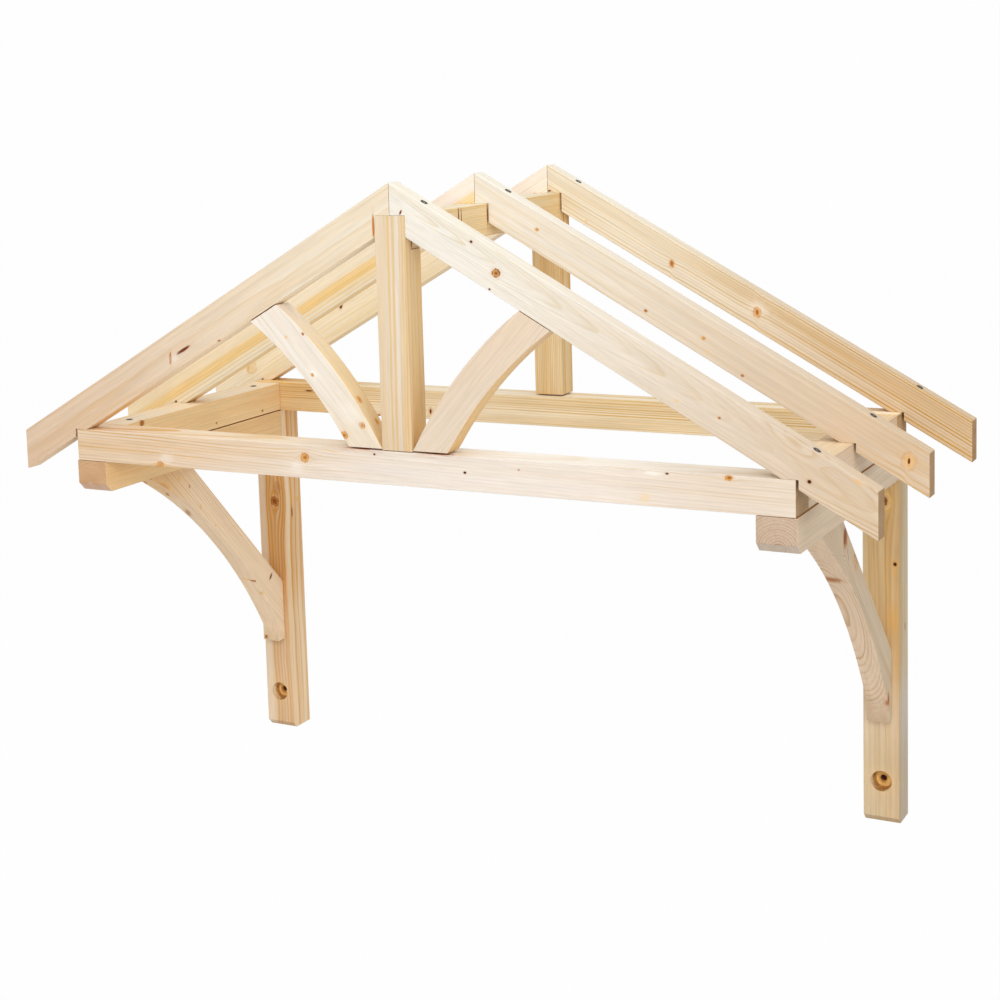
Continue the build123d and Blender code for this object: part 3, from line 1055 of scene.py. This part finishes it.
    def _right_finishes(self) -> tuple[SpruceFinish, SpruceFinish, SpruceFinish]:
        """Give the right post, arm and brace their wood."""
        post = SpruceFinish(
            "spruce_right_post", UPRIGHT, (0.94, 0.05, 0.0), 23.8,
            early=tint(227, 209, 182), late=tint(201, 143, 51), spacing=0.0066,
            swell=(-0.75, -0.60, 0.5, 0.9), side_shading=tint(229, 238, 255),
            tone_and_shade_drifts=(
                Drift(-0.78, -0.60, tint(255, 253, 238)),
                Drift(-0.72, -0.92, tint(240, 236, 226)),
            ),
            knots=(
                Knot((0.9652, -0.095, -0.1862), 0.0200, 1.5, Mark.PALE, share=0.9),
                Knot((0.9645, -0.095, -0.1862), 0.0062, 1.8, Mark.DEAD),
                Knot((0.9901, -0.095, -0.3531), 0.0110, 1.1, Mark.STREAK_AND_BOUNCE_LIGHT, share=0.6),
                Knot((0.9901, -0.095, -0.3750), 0.0022, 8.0, Mark.STREAK_AND_BOUNCE_LIGHT),
                Knot((0.9901, -0.095, -0.3531), 0.0048, 1.1, Mark.SPECK),
                Knot((0.9846, -0.095, -0.5062), 0.0160, 3.0, Mark.STREAK_AND_BOUNCE_LIGHT, share=0.55),
                Knot((1.0, -0.0314, -0.5351), 0.0026, 4.0, Mark.SLIT_AND_GAP_SHADE),
                *self._bolt_hole_shading(),
            ),
            lanes=Lanes(
                (0.905, -0.095, 0.0), (1.0, 0.15, 0.0), 0.1080,
                (
                    (0.0, 0.15), (0.14, 0.15), (0.17, 0.50), (0.20, 0.18), (0.27, 0.20),
                    (0.30, 0.60), (0.33, 0.20), (0.40, 0.55), (0.43, 0.22), (0.52, 0.25),
                    (0.55, 0.85), (0.58, 0.28), (0.66, 0.60), (0.70, 0.30), (0.80, 0.55),
                    (0.88, 0.60), (0.93, 0.15), (1.0, 0.1),
                ),
                waver=0.10, rest=0.5,
            ),
        )
        arm = SpruceFinish(
            "spruce_right_arm", OUTWARD, (0.957, 0.0, -0.1165), 26.2,
            early=tint(221, 205, 182), late=tint(162, 102, 22), contrast=0.25, spacing=0.0067,
            wander=0.0015, end=tint(234, 224, 220), side_shading=tint(247, 242, 236),
            # The arm's top is tinted dark: painted shade in the shadow line under the plate.
            underside_shading=tint(244, 246, 252), top_shading=tint(214, 168, 120),
        )
        brace = SpruceFinish(
            "spruce_right_brace", (0.0, -1.0, 1.0), (0.93, -0.36, -0.36), 29.5,
            early=tint(214, 190, 163), late=tint(161, 104, 22), contrast=0.45, spacing=0.0046,
            wander=0.003, side_shading=tint(248, 255, 255), underside_shading=tint(270, 270, 270),
            knots=(
                Knot((0.9815, -0.5260, -0.1900), 0.0150, 1.5, Mark.BROWN, (0.0, 0.15, 1.0)),
                Knot((0.9815, -0.5300, -0.1800), 0.0105, 1.8, Mark.DEAD, (0.0, 0.15, 1.0)),
                Knot((0.9815, -0.5050, -0.2330), 0.0016, 12.0, Mark.SLIT_AND_GAP_SHADE, (0.0, -0.35, 1.0), 0.8),
                Knot((0.9390, -0.4944, -0.3000), 0.0140, 1.8, Mark.BROWN, (1.0, 0.0, -0.1), 0.85),
                Knot((0.9815, -0.4330, -0.2600), 0.0340, 1.2, Mark.FAN),
                Knot((0.9815, -0.1310, -0.7100), 0.0080, 2.4, Mark.BROWN, UPRIGHT),
            ),
        )
        return post, arm, brace


@dataclass
class FrontTruss:
    """What stands on the front tie beam and its rear twin: king posts and curved struts.

    Attributes:
        pitch: Slope of the roof, in radians.
        foot_gap: Shadow line under the struts' feet.
        head_gap: Shadow line over the left strut's head; the right one's is half of it.
        king_gap: Shadow line under the front king post; the rear one's is twice as wide.
        king_ease: Width of the front king post's eased arrises.
    """

    pitch: float
    foot_gap: float = 0.0042
    head_gap: float = 0.0028
    king_gap: float = 0.0018
    king_ease: float = 0.0008

    def timbers(self) -> list[Timber]:
        """List the two king posts and two struts."""
        front = SpruceFinish(
            "spruce_front_king_post", UPRIGHT, (0.02, -0.86, 0.0), 32.6,
            early=tint(229, 219, 207), late=tint(221, 178, 98), contrast=0.95, spacing=0.0070,
            wander=0.002, side_shading=tint(258, 250, 230),
            tone_and_shade_drifts=(Drift(0.30, 0.08, tint(251, 246, 240)),),
            # Painted light: a warm patch on the king post's side near the strut's foot, for bounced
            # light there.
            knots=(Knot((0.042, -0.922, 0.085), 0.0280, 2.2, Mark.BLOTCH_AND_BOUNCE_LIGHT),),
            lanes=Lanes(
                (-0.042, -0.966, 0.0), (1.0, 0.9, 0.0), 0.1126,
                (
                    (0.0, 0.15), (0.05, 0.30), (0.07, 0.08), (0.13, 0.24), (0.15, 0.06),
                    (0.19, 0.20), (0.225, 0.05), (0.238, 0.70), (0.262, 0.60), (0.278, 0.0),
                    (0.300, 0.0), (0.315, 0.55), (0.350, 0.60), (0.368, 0.08), (0.425, 0.10),
                    (0.445, 0.60), (0.47, 0.40), (0.50, 0.75), (0.52, 0.45), (0.545, 0.85),
                    (0.57, 0.40), (0.60, 0.75), (0.62, 0.30), (0.66, 0.40), (0.69, 0.80),
                    (0.72, 0.25), (0.78, 0.60), (0.81, 0.25), (0.86, 0.65), (0.89, 0.25),
                    (0.95, 0.55), (1.0, 0.3),
                ),
                waver=0.025, rest=0.35,
            ),
        )
        rear = SpruceFinish(
            "spruce_rear_king_post", UPRIGHT, (0.11, -0.03, 0.0), 35.9,
            early=tint(240, 219, 178), late=tint(212, 147, 22), contrast=0.85, spacing=0.0052,
            side_shading=tint(255, 253, 247), tone_and_shade_drifts=(Drift(0.28, 0.42, tint(248, 238, 222)),),
        )
        left = SpruceFinish(
            "spruce_left_strut", (0.66, 0.0, -0.75), (-0.20, -0.90, 0.2), 38.3,
            early=tint(240, 231, 220), late=tint(220, 167, 22), contrast=0.25, spacing=0.0052,
            end=tint(226, 172, 112), side_shading=tint(252, 235, 198),
            tone_and_shade_drifts=(Drift(-0.34, -0.12, tint(250, 244, 232)),),
            knots=(
                Knot((-0.0971, -0.966, 0.1025), 0.0078, 1.15, Mark.LIVE),
                Knot((-0.1495, -0.966, 0.0748), 0.0092, 1.15, Mark.LIVE),
                Knot((-0.0971, -0.966, 0.1025), 0.0030, 1.3, Mark.BROWN, share=0.8),
                Knot((-0.1495, -0.966, 0.0748), 0.0032, 1.3, Mark.BROWN, share=0.8),
                Knot((-0.1144, -0.9452, 0.1634), 0.0078, 1.3, Mark.LIVE),
                Knot((-0.0778, -0.9257, 0.1068), 0.0060, 1.5, Mark.LIVE),
                Knot((-0.1300, -0.966, 0.1300), 0.0300, 1.6, Mark.BALD, share=0.35),
                Knot((-0.3099, -0.966, 0.3157), 0.0032, 1.2, Mark.PALE),
                Knot((-0.2599, -0.966, 0.3253), 0.0032, 1.3, Mark.DARK),
                Knot((-0.2320, -0.966, 0.2270), 0.0100, 1.3, Mark.BALD, share=0.7),
                Knot((-0.2365, -0.966, 0.2227), 0.0038, 1.3, Mark.LIVE),
            ),
        )
        right = SpruceFinish(
            "spruce_right_strut", (0.66, 0.0, 0.75), (0.30, -0.89, 0.1), 41.7,
            early=tint(226, 210, 191), late=tint(214, 153, 22), contrast=0.35,
            side_shading=tint(259, 253, 228), underside_shading=tint(260, 246, 222),
        )
        foot = Shaving((0, 0, -1), self.foot_gap)
        king_feet = [Shaving((0, 0, -1), gap) for gap in (self.king_gap, 2 * self.king_gap)]
        heads = {
            side: Shaving((side.sign * math.sin(self.pitch), 0, math.cos(self.pitch)), gap)
            for side, gap in zip(Side, (self.head_gap, self.head_gap / 2))
        }
        return [
            Timber("front_king_post", front, (king_feet[0],), ease=self.king_ease),
            Timber("rear_king_post", rear, (king_feet[1],)),
            Timber("truss_strut_left", left, (foot, heads[Side.LEFT])),
            Timber("truss_strut_right", right, (foot, heads[Side.RIGHT])),
        ]


@dataclass
class RoofTimbers:
    """The ridge purlin and the three pairs of rafters.

    Attributes:
        pitch: Slope of the roof, in radians.
        tongue_gap: Gap between the purlin's front end and the king post's tongue.
        purlin_gap: Shadow line along each side of the purlin.
        seam: Shadow line where two rafters meet at the ridge.
    """

    pitch: float
    tongue_gap: float = 0.0045
    purlin_gap: float = 0.0006
    seam: float = 0.0002

    def timbers(self) -> list[Timber]:
        """List the purlin and the six rafters."""
        down_right = (math.cos(self.pitch), 0.0, -math.sin(self.pitch))
        down_left = (-math.cos(self.pitch), 0.0, -math.sin(self.pitch))
        # Painted shade: the rafters darken and warm towards their feet, away from the light at the
        # ridge.
        eaves_shade = (Drift(-0.25, 0.95, tint(232, 216, 200)),)
        purlin = SpruceFinish(
            "spruce_ridge_purlin", OUTWARD, (0.02, 0.0, 0.47), 44.1,
            early=tint(233, 209, 167), late=tint(221, 163, 22), contrast=0.7,
            top_shading=tint(252, 268, 304),
            knots=(
                # Painted shade: the dark line of the gap behind the king post's tongue, which the
                # tongue hides.
                Knot((0.038, -0.9290, 0.5620), 0.0040, 6.0, Mark.SLIT_AND_GAP_SHADE, UPRIGHT),
                Knot((0.038, -0.6750, 0.5790), 0.0034, 14.0, Mark.SLIT_AND_GAP_SHADE, UPRIGHT),
                Knot((0.038, -0.6600, 0.5790), 0.0022, 22.0, Mark.SLIT_AND_GAP_SHADE, UPRIGHT),
                Knot((0.038, -0.5120, 0.5930), 0.0030, 10.0, Mark.SLIT_AND_GAP_SHADE, UPRIGHT),
            ),
        )
        front_left = SpruceFinish(
            "spruce_front_rafter_left", down_left, (0.0, -0.80, 0.62), 47.8,
            early=tint(236, 223, 202), late=tint(217, 175, 101), contrast=0.4, spacing=0.0055,
            underside_shading=tint(272, 272, 268), tone_and_shade_drifts=(Drift(-0.25, 0.95, tint(244, 228, 218)),),
            knots=(
                Knot((-0.6300, -0.966, 0.2715), 0.0040, 6.5, Mark.SLIT_AND_GAP_SHADE, (0.87, 0.0, 0.49)),
                Knot((-0.6718, -0.966, 0.2486), 0.0036, 4.5, Mark.CHECK, (0.05, 0.0, 1.0)),
                Knot((-0.6600, -0.966, 0.2500), 0.0120, 1.6, Mark.BALD, share=0.35),
                Knot((-0.5155, -0.9631, 0.2989), 0.0040, 1.2, Mark.DARK),
                # Painted shade: a dark line along the king post's left edge, for the gap there.
                Knot((-0.0452, -0.966, 0.5960), 0.0030, 9.5, Mark.CHECK, UPRIGHT),
                # Painted light: warm bounced light under the rafter's foot, over the plate.
                Knot((-0.8700, -0.938, 0.0950), 0.0170, 6.0, Mark.STREAK_AND_BOUNCE_LIGHT, (0.87, 0.0, 0.49)),
            ),
        )
        middle_left = SpruceFinish(
            "spruce_middle_rafter_left", down_left, (0.0, -0.42, 0.58), 50.2,
            early=tint(246, 242, 244), late=tint(246, 200, 106), contrast=0.95, spacing=0.0060,
            wander=0.002, underside_shading=tint(255, 244, 224),
            tone_and_shade_drifts=(Drift(-0.35, 0.15, tint(255, 251, 230)),),
            knots=(Knot((-0.9981, -0.509, 0.0454), 0.0032, 1.1, Mark.SPECK),),
            lanes=Lanes(
                (-1.0, -0.509, 0.0225), (-math.sin(self.pitch), 0.0, math.cos(self.pitch)), 0.094,
                (
                    (0.0, 0.1), (0.05, 0.05), (0.09, 0.65), (0.12, 0.02), (0.17, 0.02),
                    (0.20, 0.70), (0.23, 0.35), (0.26, 0.05), (0.31, 0.50), (0.34, 0.95),
                    (0.37, 0.35), (0.41, 0.90), (0.45, 0.35), (0.49, 0.80), (0.52, 0.30),
                    (0.55, 0.70), (0.59, 0.30), (0.63, 0.20), (0.70, 0.15), (0.85, 0.22),
                    (1.0, 0.15),
                ),
                waver=0.05, rest=0.3,
            ),
        )
        rear_left = SpruceFinish(
            "spruce_rear_rafter_left", down_left, (0.0, 0.04, 0.60), 53.6,
            early=tint(248, 236, 226), late=tint(233, 198, 113), contrast=0.5,
            underside_shading=tint(250, 243, 232), tone_and_shade_drifts=(Drift(-0.35, 0.25, tint(255, 250, 228)),),
            knots=(
                Knot((-1.0359, -0.052, 0.0788), 0.0180, 1.2, Mark.PALE, share=0.6),
                Knot((-1.0480, -0.052, 0.0790), 0.0045, 3.2, Mark.STREAK_AND_BOUNCE_LIGHT, (0.15, 0.0, 1.0)),
                Knot((-0.6982, -0.052, 0.2826), 0.0050, 1.9, Mark.SLIT_AND_GAP_SHADE, (0.3, 0.0, 1.0)),
                Knot((-0.9951, -0.052, 0.0446), 0.0028, 1.1, Mark.SPECK),
            ),
        )
        front_right = SpruceFinish(
            "spruce_front_rafter_right", (down_right[0], 0.045, down_right[2] - 0.012),
            (0.42, -0.935, 0.425), 56.9,
            early=tint(237, 231, 221), late=tint(210, 180, 114), spacing=0.0048, wander=0.007,
            flow=1.2, swell=(0.72, 0.95, 0.45, 0.85), side_shading=tint(245, 243, 232), tone_and_shade_drifts=eaves_shade,
            knots=(
                Knot((0.2826, -0.966, 0.4860), 0.0100, 1.1, Mark.RINGED),
                Knot((0.2196, -0.966, 0.5596), 0.0032, 1.2, Mark.SPECK),
                Knot((0.2644, -0.966, 0.4477), 0.0024, 1.2, Mark.SPECK),
                Knot((0.8246, -0.966, 0.1710), 0.0026, 1.3, Mark.DARK),
                Knot((0.7251, -0.966, 0.2045), 0.0034, 1.3, Mark.PALE, share=0.7),
                Knot((1.0272, -0.966, 0.0414), 0.0044, 1.1, Mark.SPECK),
                Knot((1.1334, -0.966, 0.0486), 0.0040, 3.5, Mark.STREAK_AND_BOUNCE_LIGHT, share=0.7),
                Knot((1.0100, -0.966, 0.1300), 0.0300, 1.3, Mark.SWIRL),
                Knot((0.0316, -0.966, 0.6289), 0.0024, 2.6, Mark.SLIT_AND_GAP_SHADE, (0.5, 0.0, 1.0)),
                Knot((1.0900, -0.966, 0.0350), 0.0220, 1.6, Mark.SWIRL),
            ),
        )
        middle_right = SpruceFinish(
            "spruce_middle_rafter_right", down_right, (0.0, -0.40, 0.66), 59.4,
            early=tint(237, 230, 218), late=tint(211, 166, 22), spacing=0.0060,
            swell=(0.72, 0.95, 0.40, 0.65), tone_and_shade_drifts=eaves_shade,
            knots=(
                Knot((1.1290, -0.509, 0.0080), 0.0190, 1.25, Mark.LIVE, (0.15, 0.0, 1.0), 0.28),
                Knot((1.1290, -0.509, 0.0080), 0.0110, 1.3, Mark.PALE, (0.15, 0.0, 1.0), 0.6),
                Knot((1.1290, -0.509, 0.0080), 0.0030, 2.6, Mark.SLIT_AND_GAP_SHADE, (0.1, 0.0, 1.0)),
                Knot((0.1775, -0.509, 0.5530), 0.0042, 1.3, Mark.LIVE),
                Knot((0.4728, -0.509, 0.3494), 0.0036, 1.3, Mark.DARK),
                Knot((0.6242, -0.509, 0.2843), 0.0042, 1.3, Mark.LIVE),
                Knot((0.7230, -0.509, 0.1949), 0.0032, 1.3, Mark.DARK),
                Knot((0.6330, -0.509, 0.2515), 0.0034, 1.3, Mark.PALE, share=0.6),
            ),
        )
        rear_right = SpruceFinish(
            "spruce_rear_rafter_right", down_right, (0.0, 0.06, 0.50), 62.3,
            early=tint(239, 231, 215), late=tint(207, 159, 22), spacing=0.0060, wander=0.0025,
            swell=(0.05, 0.90, 0.95, 1.45), top_shading=tint(261, 268, 283), tone_and_shade_drifts=eaves_shade,
            knots=(
                Knot((0.1175, -0.052, 0.5421), 0.0034, 1.2, Mark.PALE),
                Knot((0.3699, -0.052, 0.4250), 0.0080, 1.4, Mark.LIVE, UPRIGHT, 0.7),
                Knot((0.3699, -0.052, 0.4250), 0.0042, 1.8, Mark.DARK, UPRIGHT),
                Knot((0.6150, -0.052, 0.3080), 0.0210, 1.5, Mark.BALD, share=0.4),
                Knot((0.6108, -0.052, 0.2963), 0.0115, 1.3, Mark.LIVE, UPRIGHT, 0.7),
                Knot((0.6108, -0.052, 0.2963), 0.0042, 1.8, Mark.DARK, UPRIGHT),
                Knot((0.0060, -0.052, 0.6274), 0.0022, 2.4, Mark.SPECK, ACROSS),
            ),
        )
        sides = (Shaving((1, 0, 0), self.purlin_gap), Shaving((-1, 0, 0), self.purlin_gap))
        timbers = [Timber("ridge_purlin", purlin, (*sides, Shaving((0, -1, 0), self.tongue_gap)))]
        for row, pair in (
            ("front", (front_left, front_right)),
            ("middle", (middle_left, middle_right)),
            ("rear", (rear_left, rear_right)),
        ):
            for side, finish in zip(Side, pair):
                ridge_end = Shaving((-side.sign, 0, 0), self.seam)
                timbers.append(Timber(f"{row}_rafter_{side.label}", finish, (ridge_end,)))
        return timbers


# ---------------------------------------------------------------------------
# Screws


@dataclass
class ScrewRow:
    """Dark countersunk screws in the rafters' backs and the side plates.

    Attributes:
        pitch: Slope of the roof, in radians.
        rafter_rows: Places of the rafters' screws along Y.
        rafter_reaches: Their places along X, from the middle outward.
        plate_rows: Places of the plates' screws along Y.
        plate_reach: Their place along X, from the middle outward.
        head_radius: Radius of a screw's head.
        head_depth: Height of the head's cone.
        cone_share: The cone's width at its point, as a share of the head's.
        rounding: Width of the head's rounded edge.
        recess_radius: Radius of the driver's recess.
        recess_depth: Its depth.
        recess_share: Its width at the bottom, as a share of that at the top.
        lobes: How many lobes it has.
        lobe_reach: How far a lobe reaches past its radius, as a share of it.
        stand_proud: How far the head stands out of the wood.
        SMOOTH: Faces of the head that meet at less than this angle are shaded as one.
    """

    SMOOTH = math.radians(40)

    pitch: float
    rafter_rows: tuple[float, ...] = (-0.9470, -0.4850, -0.0300)
    rafter_reaches: tuple[float, ...] = (0.0865, 1.0390)
    plate_rows: tuple[float, ...] = (-0.7965, -0.1757)
    plate_reach: float = 0.9485
    head_radius: float = 0.0094
    head_depth: float = 0.0060
    cone_share: float = 0.45
    rounding: float = 0.0004
    recess_radius: float = 0.0036
    recess_depth: float = 0.0026
    recess_share: float = 0.82
    lobes: int = 6
    lobe_reach: float = 0.16
    stand_proud: float = 0.0012

    def places(self) -> list[tuple[Vector, Vector]]:
        """List each screw's place on the wood and the way its head faces."""
        found = []
        for side in Side:
            outward = Vector((side.sign * math.sin(self.pitch), 0.0, math.cos(self.pitch)))
            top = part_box(f"front_rafter_{side.label}")[1].z
            for y in self.rafter_rows:
                for reach in self.rafter_reaches:
                    drop = reach * math.tan(self.pitch)
                    found.append((Vector((side.sign * reach, y, top - drop)), outward))
            plate_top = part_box(f"side_plate_{side.label}")[1].z
            for y in self.plate_rows:
                place = Vector((side.sign * self.plate_reach, y, plate_top))
                found.append((place, Vector(UPRIGHT)))
        return found

    def build(self) -> list[bpy.types.Object]:
        """Model one screw, copy it to every place and dress the copies.

        Returns:
            The finished screws.
        """
        model = self._head()
        steel = self._steel()
        screws = []
        for number, (place, facing) in enumerate(self.places(), start=1):
            mesh = model.data.copy()
            turn = Vector(UPRIGHT).rotation_difference(facing).to_matrix().to_4x4()
            mesh.transform(Matrix.Translation(place + facing * self.stand_proud) @ turn)
            screw = bpy.data.objects.new(f"wood_screw_{number:02d}", mesh)
            bpy.context.scene.collection.objects.link(screw)
            screw.data.materials.clear()
            screw.data.materials.append(steel)
            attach(screw, BODY)
            screws.append(screw)
        bpy.data.objects.remove(model)
        LOG.info("wood screws: %d", len(screws))
        return screws

    def _head(self) -> bpy.types.Object:
        """Model a countersunk head with a six-lobed recess at the origin, facing up."""
        bpy.ops.object.select_all(action="DESELECT")
        bpy.ops.mesh.primitive_cylinder_add(
            vertices=6 * self.lobes,
            radius=self.head_radius,
            depth=self.head_depth,
            location=(0, 0, -self.head_depth / 2),
        )
        head = bpy.context.active_object
        bpy.ops.object.transform_apply(location=True, rotation=False, scale=False)
        bpy.ops.object.mode_set(mode="EDIT")
        bpy.ops.mesh.select_mode(type="FACE")
        self._pick(head, -1.0)
        bpy.ops.transform.resize(value=(self.cone_share, self.cone_share, 1.0))
        self._pick(head, 1.0)
        round_edges(self.rounding)
        self._pick(head, 1.0)
        rim = self.head_radius - self.rounding - self.recess_radius
        bpy.ops.mesh.inset(thickness=rim, depth=0.0)
        mesh = bmesh.from_edit_mesh(head.data)
        for vert in mesh.verts:
            if vert.select:
                angle = math.atan2(vert.co.y, vert.co.x)
                lobe = 1.0 + self.lobe_reach * math.cos(self.lobes * angle)
                vert.co.x *= lobe
                vert.co.y *= lobe
        bmesh.update_edit_mesh(head.data)
        sink = {"value": (0, 0, -self.recess_depth)}
        bpy.ops.mesh.extrude_region_move(TRANSFORM_OT_translate=sink)
        bpy.ops.transform.resize(value=(self.recess_share, self.recess_share, 1.0))
        bpy.ops.object.mode_set(mode="OBJECT")
        bpy.ops.object.shade_smooth_by_angle(angle=self.SMOOTH)
        head.select_set(False)
        return head

    @staticmethod
    def _pick(head: bpy.types.Object, up: float) -> None:
        """Select the head's top face, or its bottom one when up is negative."""
        bpy.ops.mesh.select_all(action="DESELECT")
        mesh = bmesh.from_edit_mesh(head.data)
        flat = [face for face in mesh.faces if face.normal.z * up > SAME_WAY]
        chosen = max(flat, key=lambda face: face.calc_center_median().z * up)
        chosen.select_set(True)
        bmesh.update_edit_mesh(head.data)

    @staticmethod
    def _steel() -> bpy.types.Material:
        """Make the screws' dark coated steel."""
        material = bpy.data.materials.new("blackened_screw_steel")
        material.use_nodes = True
        s = Sketch(material.node_tree)
        shader = material.node_tree.nodes["Principled BSDF"]
        place = s.node("TexCoord").outputs["Object"]
        worn = s.cloud(place, 900.0, 3.0)
        colour = s.mix(s.step(worn, 0.45, 0.75), tint(34, 33, 36), tint(92, 92, 98))
        s.feed(shader.inputs["Base Color"], colour)
        s.feed(shader.inputs["Roughness"], s.step(worn, 0.3, 0.7, 0.34, 0.55))
        shader.inputs["Metallic"].default_value = 0.8
        return material


# ---------------------------------------------------------------------------
# Studio


@dataclass(frozen=True)
class Viewpoint:
    """Where the camera stands and how it looks.

    Attributes:
        place: Its place.
        yaw: Turn to the left, in degrees.
        dip: Look downwards, in degrees.
        roll: Tilt, in degrees.
        lens: Focal length in millimetres on a 36 mm wide film.
        shift: Sideways and upward shift of the lens.
    """

    place: Triple = (2.19992, -4.84082, 0.89097)
    yaw: float = 29.7728
    dip: float = 6.94297
    roll: float = -2.02092
    lens: float = 66.5417
    shift: tuple[float, float] = (0.1130, -0.17188)

    def set_up(self) -> bpy.types.Object:
        """Make the camera and give it to the scene."""
        data = bpy.data.cameras.new("front_camera")
        data.sensor_width = 36.0
        data.lens = self.lens
        data.shift_x, data.shift_y = self.shift
        camera = bpy.data.objects.new("front_camera", data)
        bpy.context.scene.collection.objects.link(camera)
        camera.matrix_world = (
            Matrix.Translation(self.place)
            @ Matrix.Rotation(math.radians(self.yaw), 4, "Z")
            @ Matrix.Rotation(math.radians(90.0 - self.dip), 4, "X")
            @ Matrix.Rotation(math.radians(self.roll), 4, "Z")
        )
        bpy.context.scene.camera = camera
        LOG.info("camera: %s", camera.name)
        return camera


@dataclass(frozen=True)
class SoftLamp:
    """A large soft lamp.

    Attributes:
        name: Its name.
        place: Where it stands.
        target: What it points at.
        power: Its power in watts.
        size: Its width and height.
        colour: Its colour.
    """

    name: str
    place: Triple
    target: Triple
    power: float
    size: float
    colour: Triple = (1.0, 1.0, 1.0)

    def set_up(self) -> bpy.types.Object:
        """Make the lamp."""
        data = bpy.data.lights.new(self.name, "AREA")
        data.shape = "SQUARE"
        data.size = self.size
        data.energy = self.power
        data.color = self.colour
        lamp = bpy.data.objects.new(self.name, data)
        bpy.context.scene.collection.objects.link(lamp)
        aim = Vector(self.target) - Vector(self.place)
        turn = aim.to_track_quat("-Z", "Y").to_matrix().to_4x4()
        lamp.matrix_world = Matrix.Translation(self.place) @ turn
        return lamp


def seen_by(s: Sketch, *kinds: str) -> Socket:
    """Tell whether a ray is of one of several kinds, as 0 or 1."""
    rays = s.node("LightPath").outputs
    seen = rays[f"Is {kinds[0]} Ray"]
    for kind in kinds[1:]:
        seen = s.math("MAXIMUM", seen, rays[f"Is {kind} Ray"])
    return seen


@dataclass
class Studio:
    """White room: floor, surrounding light, lamps and camera.

    Attributes:
        floor_drop: Height of the floor under the origin.
        floor_size: Width of the floor.
        surround: Strength of the light from all round.
        white: Strength at which the background shows as white.
        glow: Share of the floor that shows as even white instead of lit.
        lamps: The soft lamps.
        view: The camera's place.
    """

    floor_drop: float = -2.3
    floor_size: float = 60.0
    surround: float = 0.56
    white: float = 0.99
    glow: float = 0.975
    lamps: tuple[SoftLamp, ...] = (
        SoftLamp("key_lamp", (1.6, -6.2, 3.4), (0.0, -0.6, 0.0), 190.0, 3.0),
        SoftLamp("top_lamp", (0.3, -1.2, 5.2), (0.0, -0.4, 0.0), 110.0, 4.0, (0.86, 0.95, 1.0)),
        SoftLamp("side_lamp", (5.0, -2.6, 0.6), (0.0, -0.4, -0.2), 60.0, 3.0),
    )
    view: Viewpoint = Viewpoint()

    def set_up(self) -> None:
        """Build the room, the lamps and the camera."""
        bpy.context.scene.view_settings.view_transform = "Standard"
        self._world()
        self._floor()
        for lamp in self.lamps:
            lamp.set_up()
        self.view.set_up()
        LOG.info("studio: %d lamps", len(self.lamps))

    def _world(self) -> None:
        """Surround the scene with even light that shows as white."""
        world = bpy.data.worlds.new("white_surround")
        world.use_nodes = True
        bpy.context.scene.world = world
        s = Sketch(world.node_tree)
        light = world.node_tree.nodes["Background"]
        light.inputs["Color"].default_value = PLAIN
        seen = seen_by(s, "Camera", "Glossy", "Transmission")
        strength = s.math("MULTIPLY_ADD", seen, self.white - self.surround, self.surround)
        s.feed(light.inputs["Strength"], strength)

    def _floor(self) -> None:
        """Lay a pale floor that shows as white and keeps the canopy's soft shadow."""
        bpy.ops.object.select_all(action="DESELECT")
        bpy.ops.mesh.primitive_plane_add(size=self.floor_size, location=(0, 0, self.floor_drop))
        floor = bpy.context.active_object
        floor.name = "studio_floor"
        bpy.ops.object.transform_apply(location=True, rotation=False, scale=False)
        material = bpy.data.materials.new("white_floor")
        material.use_nodes = True
        s = Sketch(material.node_tree)
        nodes = material.node_tree.nodes
        shader = nodes["Principled BSDF"]
        shader.inputs["Base Color"].default_value = (0.86, 0.86, 0.86, 1.0)
        shader.inputs["Roughness"].default_value = 0.9
        share = s.times(seen_by(s, "Camera", "Glossy"), self.glow)
        blend = s.node("MixShader")
        parts = (share, shader.outputs[0], s.node("Emission").outputs[0])
        for socket, part in zip(blend.inputs, parts):
            s.feed(socket, part)
        s.feed(nodes["Material Output"].inputs["Surface"], blend.outputs[0])
        floor.data.materials.append(material)
        floor.select_set(False)


# ---------------------------------------------------------------------------
# The whole canopy


def roof_pitch(record: dict) -> float:
    """Read the roof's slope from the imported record.

    Args:
        record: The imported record.

    Returns:
        The slope in radians.
    """
    face = next(mount for mount in record["mounts"] if mount["name"] == "roof_face_right")
    return math.atan2(face["axis"][0], face["axis"][2])


def main() -> None:
    """Build the canopy's pieces in order, then the studio around them."""
    logging.basicConfig(level=logging.INFO, format="%(name)s: %(message)s")
    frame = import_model()
    pitch = roof_pitch(frame["record"])
    shop = SpruceShop()
    assemblies = (
        LevelFrame(),
        WallBracket(Side.LEFT),
        WallBracket(Side.RIGHT),
        FrontTruss(pitch),
        RoofTimbers(pitch),
    )
    for assembly in assemblies:
        for timber in assembly.timbers():
            timber.build(shop, frame["nodes"])
        LOG.info("assembled: %s", type(assembly).__name__)
    ScrewRow(pitch).build()
    Studio().set_up()


if __name__ == "__main__":
    main()
